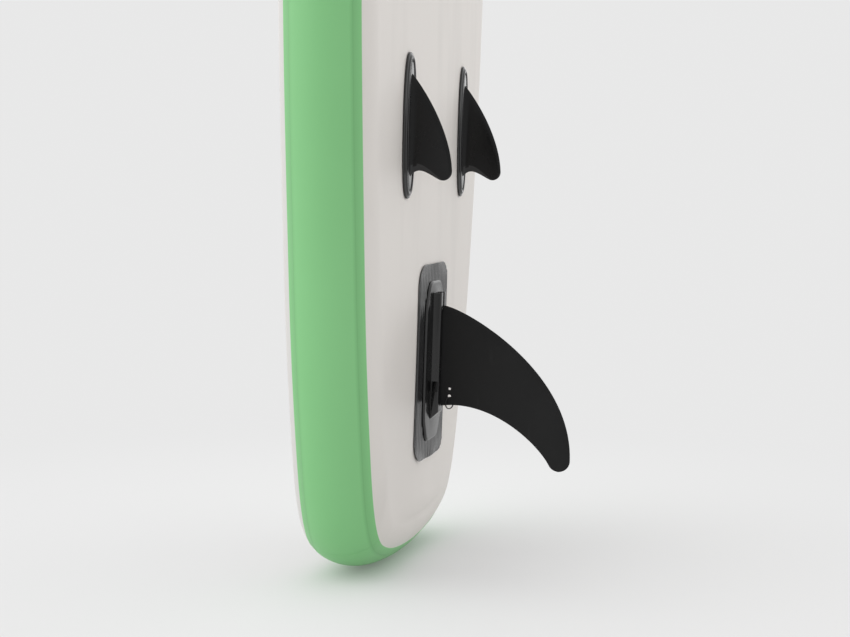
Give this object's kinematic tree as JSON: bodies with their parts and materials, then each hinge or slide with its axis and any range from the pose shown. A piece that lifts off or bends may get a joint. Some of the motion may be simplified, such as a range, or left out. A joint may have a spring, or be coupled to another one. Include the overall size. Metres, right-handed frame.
{
  "type": "stand up paddleboard",
  "caption": "Inflatable stand up paddleboard on its tail: soft hull with rail band, removable centre fin in a slide-in box, side fins, deck pad, carry handle, D-rings and inflation valve.",
  "frame": {"origin": "lowest point of the tail, on the board's centre plane", "axes": "+Z from tail to nose, -Y the bottom (fin) side, +Y the deck side, +X completes a right-handed frame"},
  "size_m": [0.8158, 0.528, 3.2],
  "materials": {
    "core_fabric": "woven, sealed",
    "white_pvc": "satin",
    "deck_pvc": "satin",
    "green_pvc": "satin",
    "grey_pvc": "ribbed, matte",
    "black_plastic": "moulded, satin",
    "black_rubber": "moulded, semi-matte",
    "pad_foam": "grooved foam, matte",
    "black_webbing": "woven",
    "grey_plastic": "moulded",
    "steel": "polished",
    "black_steel": "black oxide"
  },
  "bodies": {
    "board": {"dropstitch_core": "core_fabric", "bottom_skin": "white_pvc", "deck_skin": "deck_pvc", "rail_band_left": "green_pvc", "rail_band_right": "green_pvc", "tail_band": "green_pvc", "fin_patch": "grey_pvc", "fin_box": "black_plastic", "side_fin_base_left": "black_rubber", "side_fin_base_right": "black_rubber", "side_fin_left": "black_rubber", "side_fin_right": "black_rubber", "deck_pad": "pad_foam", "handle_patch_rear": "grey_pvc", "handle_patch_front": "grey_pvc", "handle_strap": "black_webbing", "handle_grip": "black_rubber", "valve_gasket": "black_rubber", "valve_body": "grey_plastic", "valve_nut": "grey_plastic", "valve_guide": "grey_plastic", "valve_spring": "steel", "valve_tether": "black_rubber", "ring_patch_tail": "grey_pvc", "ring_tab_tail": "black_webbing", "ring_patch_nose": "grey_pvc", "ring_tab_nose": "black_webbing", "ring_patch_deck_rear_left": "grey_pvc", "ring_tab_deck_rear_left": "black_webbing", "ring_patch_deck_rear_right": "grey_pvc", "ring_tab_deck_rear_right": "black_webbing", "ring_patch_deck_front_left": "grey_pvc", "ring_tab_deck_front_left": "black_webbing", "ring_patch_deck_front_right": "grey_pvc", "ring_tab_deck_front_right": "black_webbing"},
    "center_fin": {"center_fin": "black_plastic"},
    "fin_latch": {"fin_latch": "black_plastic"},
    "fin_ring": {"fin_ring": "black_steel"},
    "valve_cap_seal": {"valve_cap_seal": "black_rubber"},
    "valve_cap": {"valve_cap": "grey_plastic"},
    "valve_poppet": {"valve_poppet": "grey_plastic", "valve_seal": "black_rubber"},
    "d_ring_tail": {"d_ring_tail": "steel"},
    "d_ring_nose": {"d_ring_nose": "steel"},
    "d_ring_deck_rear_left": {"d_ring_deck_rear_left": "steel"},
    "d_ring_deck_rear_right": {"d_ring_deck_rear_right": "steel"},
    "d_ring_deck_front_left": {"d_ring_deck_front_left": "steel"},
    "d_ring_deck_front_right": {"d_ring_deck_front_right": "steel"}
  },
  "joints": [
    {"name": "center_fin_slide", "type": "slide", "parent": "board", "child": "center_fin", "axis": [0, -0.0244, 0.9997], "range_m": [0, 0.19], "deforming": ["fin_latch"]},
    {"name": "fin_latch_release", "type": "slide", "parent": "board", "child": "fin_latch", "axis": [-1, 0, 0], "range_m": [0, 0.0038], "stiffness_N_per_m": 900},
    {"name": "fin_ring_swing", "type": "hinge", "parent": "center_fin", "child": "fin_ring", "pos_m": [0, -0.12316, 0.27229], "axis": [1, 0, 0], "range_deg": [-20, 20]},
    {"name": "valve_cap_lift", "type": "slide", "parent": "board", "child": "valve_cap_seal", "axis": [0, 0.9997, 0.0262], "range_m": [0, 0.03], "deforming": ["valve_tether"]},
    {"name": "valve_cap_turn", "type": "hinge", "parent": "valve_cap_seal", "child": "valve_cap", "pos_m": [0, 0.07077, 0.25], "axis": [0, 0.9997, 0.0262], "range_deg": [0, 90]},
    {"name": "valve_poppet_press", "type": "slide", "parent": "board", "child": "valve_poppet", "axis": [0, -0.9997, -0.0262], "range_m": [0, 0.005], "stiffness_N_per_m": 600, "deforming": ["valve_spring"]},
    {"name": "d_ring_tail_swing", "type": "hinge", "parent": "board", "child": "d_ring_tail", "pos_m": [0, 0.08055, 0.1502], "axis": [1, 0, 0], "range_deg": [0, 160]},
    {"name": "d_ring_nose_swing", "type": "hinge", "parent": "board", "child": "d_ring_nose", "pos_m": [0, 0.17403, 2.98815], "axis": [1, 0, 0], "range_deg": [-13, 150]},
    {"name": "d_ring_deck_rear_left_swing", "type": "hinge", "parent": "board", "child": "d_ring_deck_rear_left", "pos_m": [-0.23011, 0.06921, 2.29956], "axis": [1, 0, 0], "range_deg": [-3, 155]},
    {"name": "d_ring_deck_rear_right_swing", "type": "hinge", "parent": "board", "child": "d_ring_deck_rear_right", "pos_m": [0.23011, 0.06921, 2.29956], "axis": [1, 0, 0], "range_deg": [-3, 155]},
    {"name": "d_ring_deck_front_left_swing", "type": "hinge", "parent": "board", "child": "d_ring_deck_front_left", "pos_m": [-0.19011, 0.10406, 2.6389], "axis": [1, 0, 0], "range_deg": [-8, 150]},
    {"name": "d_ring_deck_front_right_swing", "type": "hinge", "parent": "board", "child": "d_ring_deck_front_right", "pos_m": [0.19011, 0.10406, 2.6389], "axis": [1, 0, 0], "range_deg": [-8, 150]}
  ]
}
